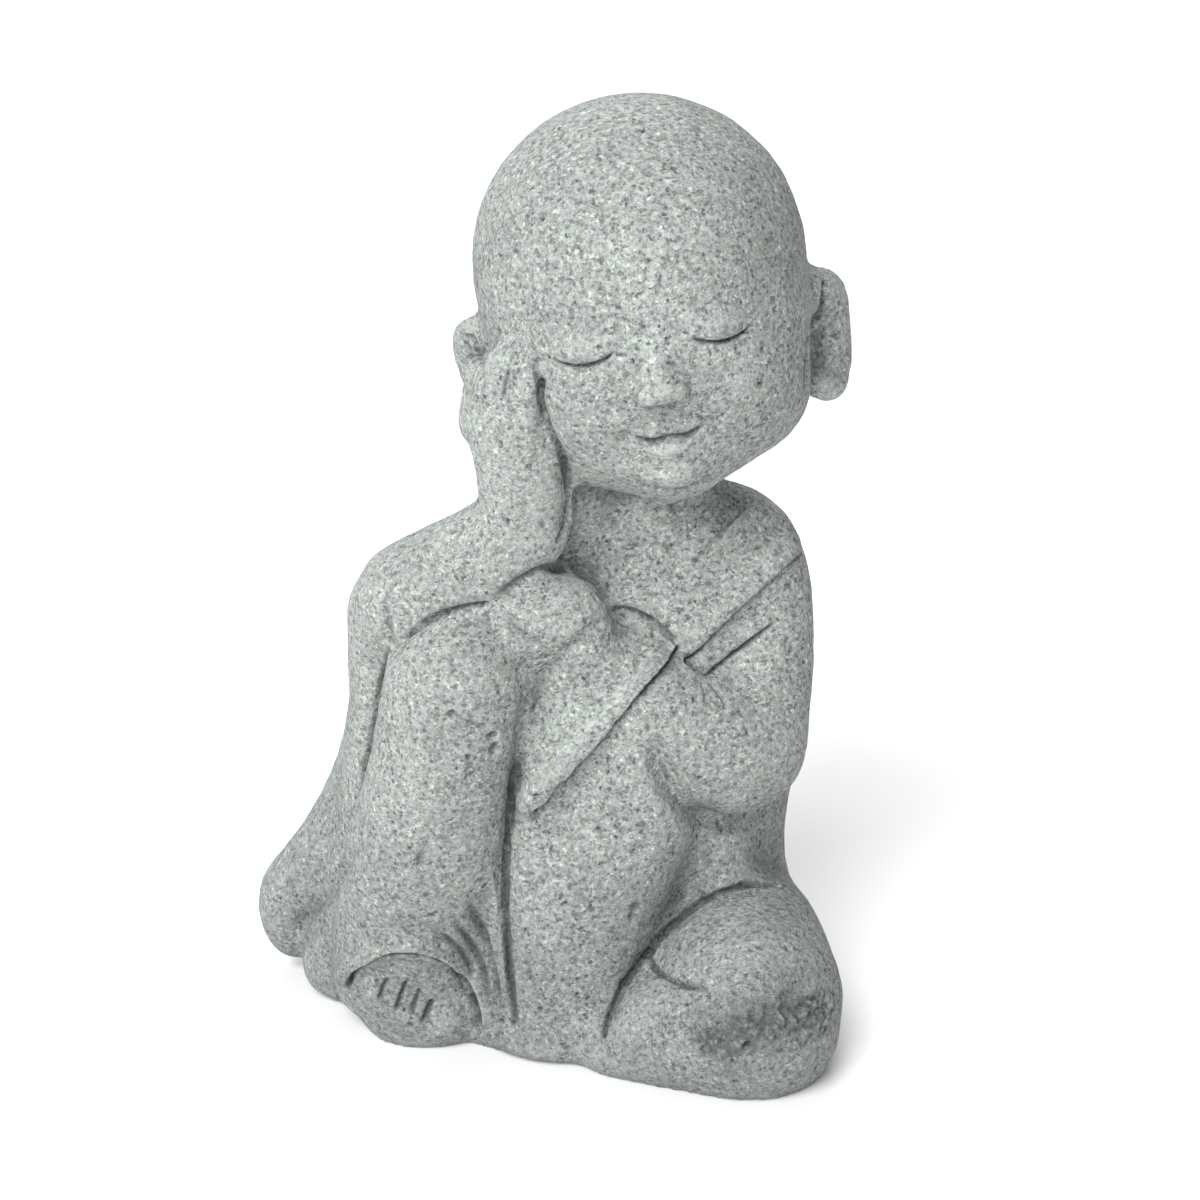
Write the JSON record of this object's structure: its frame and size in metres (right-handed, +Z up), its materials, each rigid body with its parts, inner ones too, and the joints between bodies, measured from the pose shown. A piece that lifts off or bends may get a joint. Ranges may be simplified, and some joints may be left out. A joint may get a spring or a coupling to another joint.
{
  "type": "garden figurine",
  "caption": "Small seated monk figurine in cast stone mix, leaning its head on one hand, an ornament that stands on its own flat base.",
  "frame": {"origin": "on the ground, under the middle of the figure's box seen from above", "axes": "+Z up; the figure faces -Y, and its right side, with the raised knee, is at -X"},
  "size_m": [0.128, 0.0892, 0.2007],
  "materials": {
    "stone_mix": "rough, matt, speckled light and dark grey with a slight green cast"
  },
  "bodies": {
    "root": {"figure": "stone_mix"}
  },
  "joints": []
}
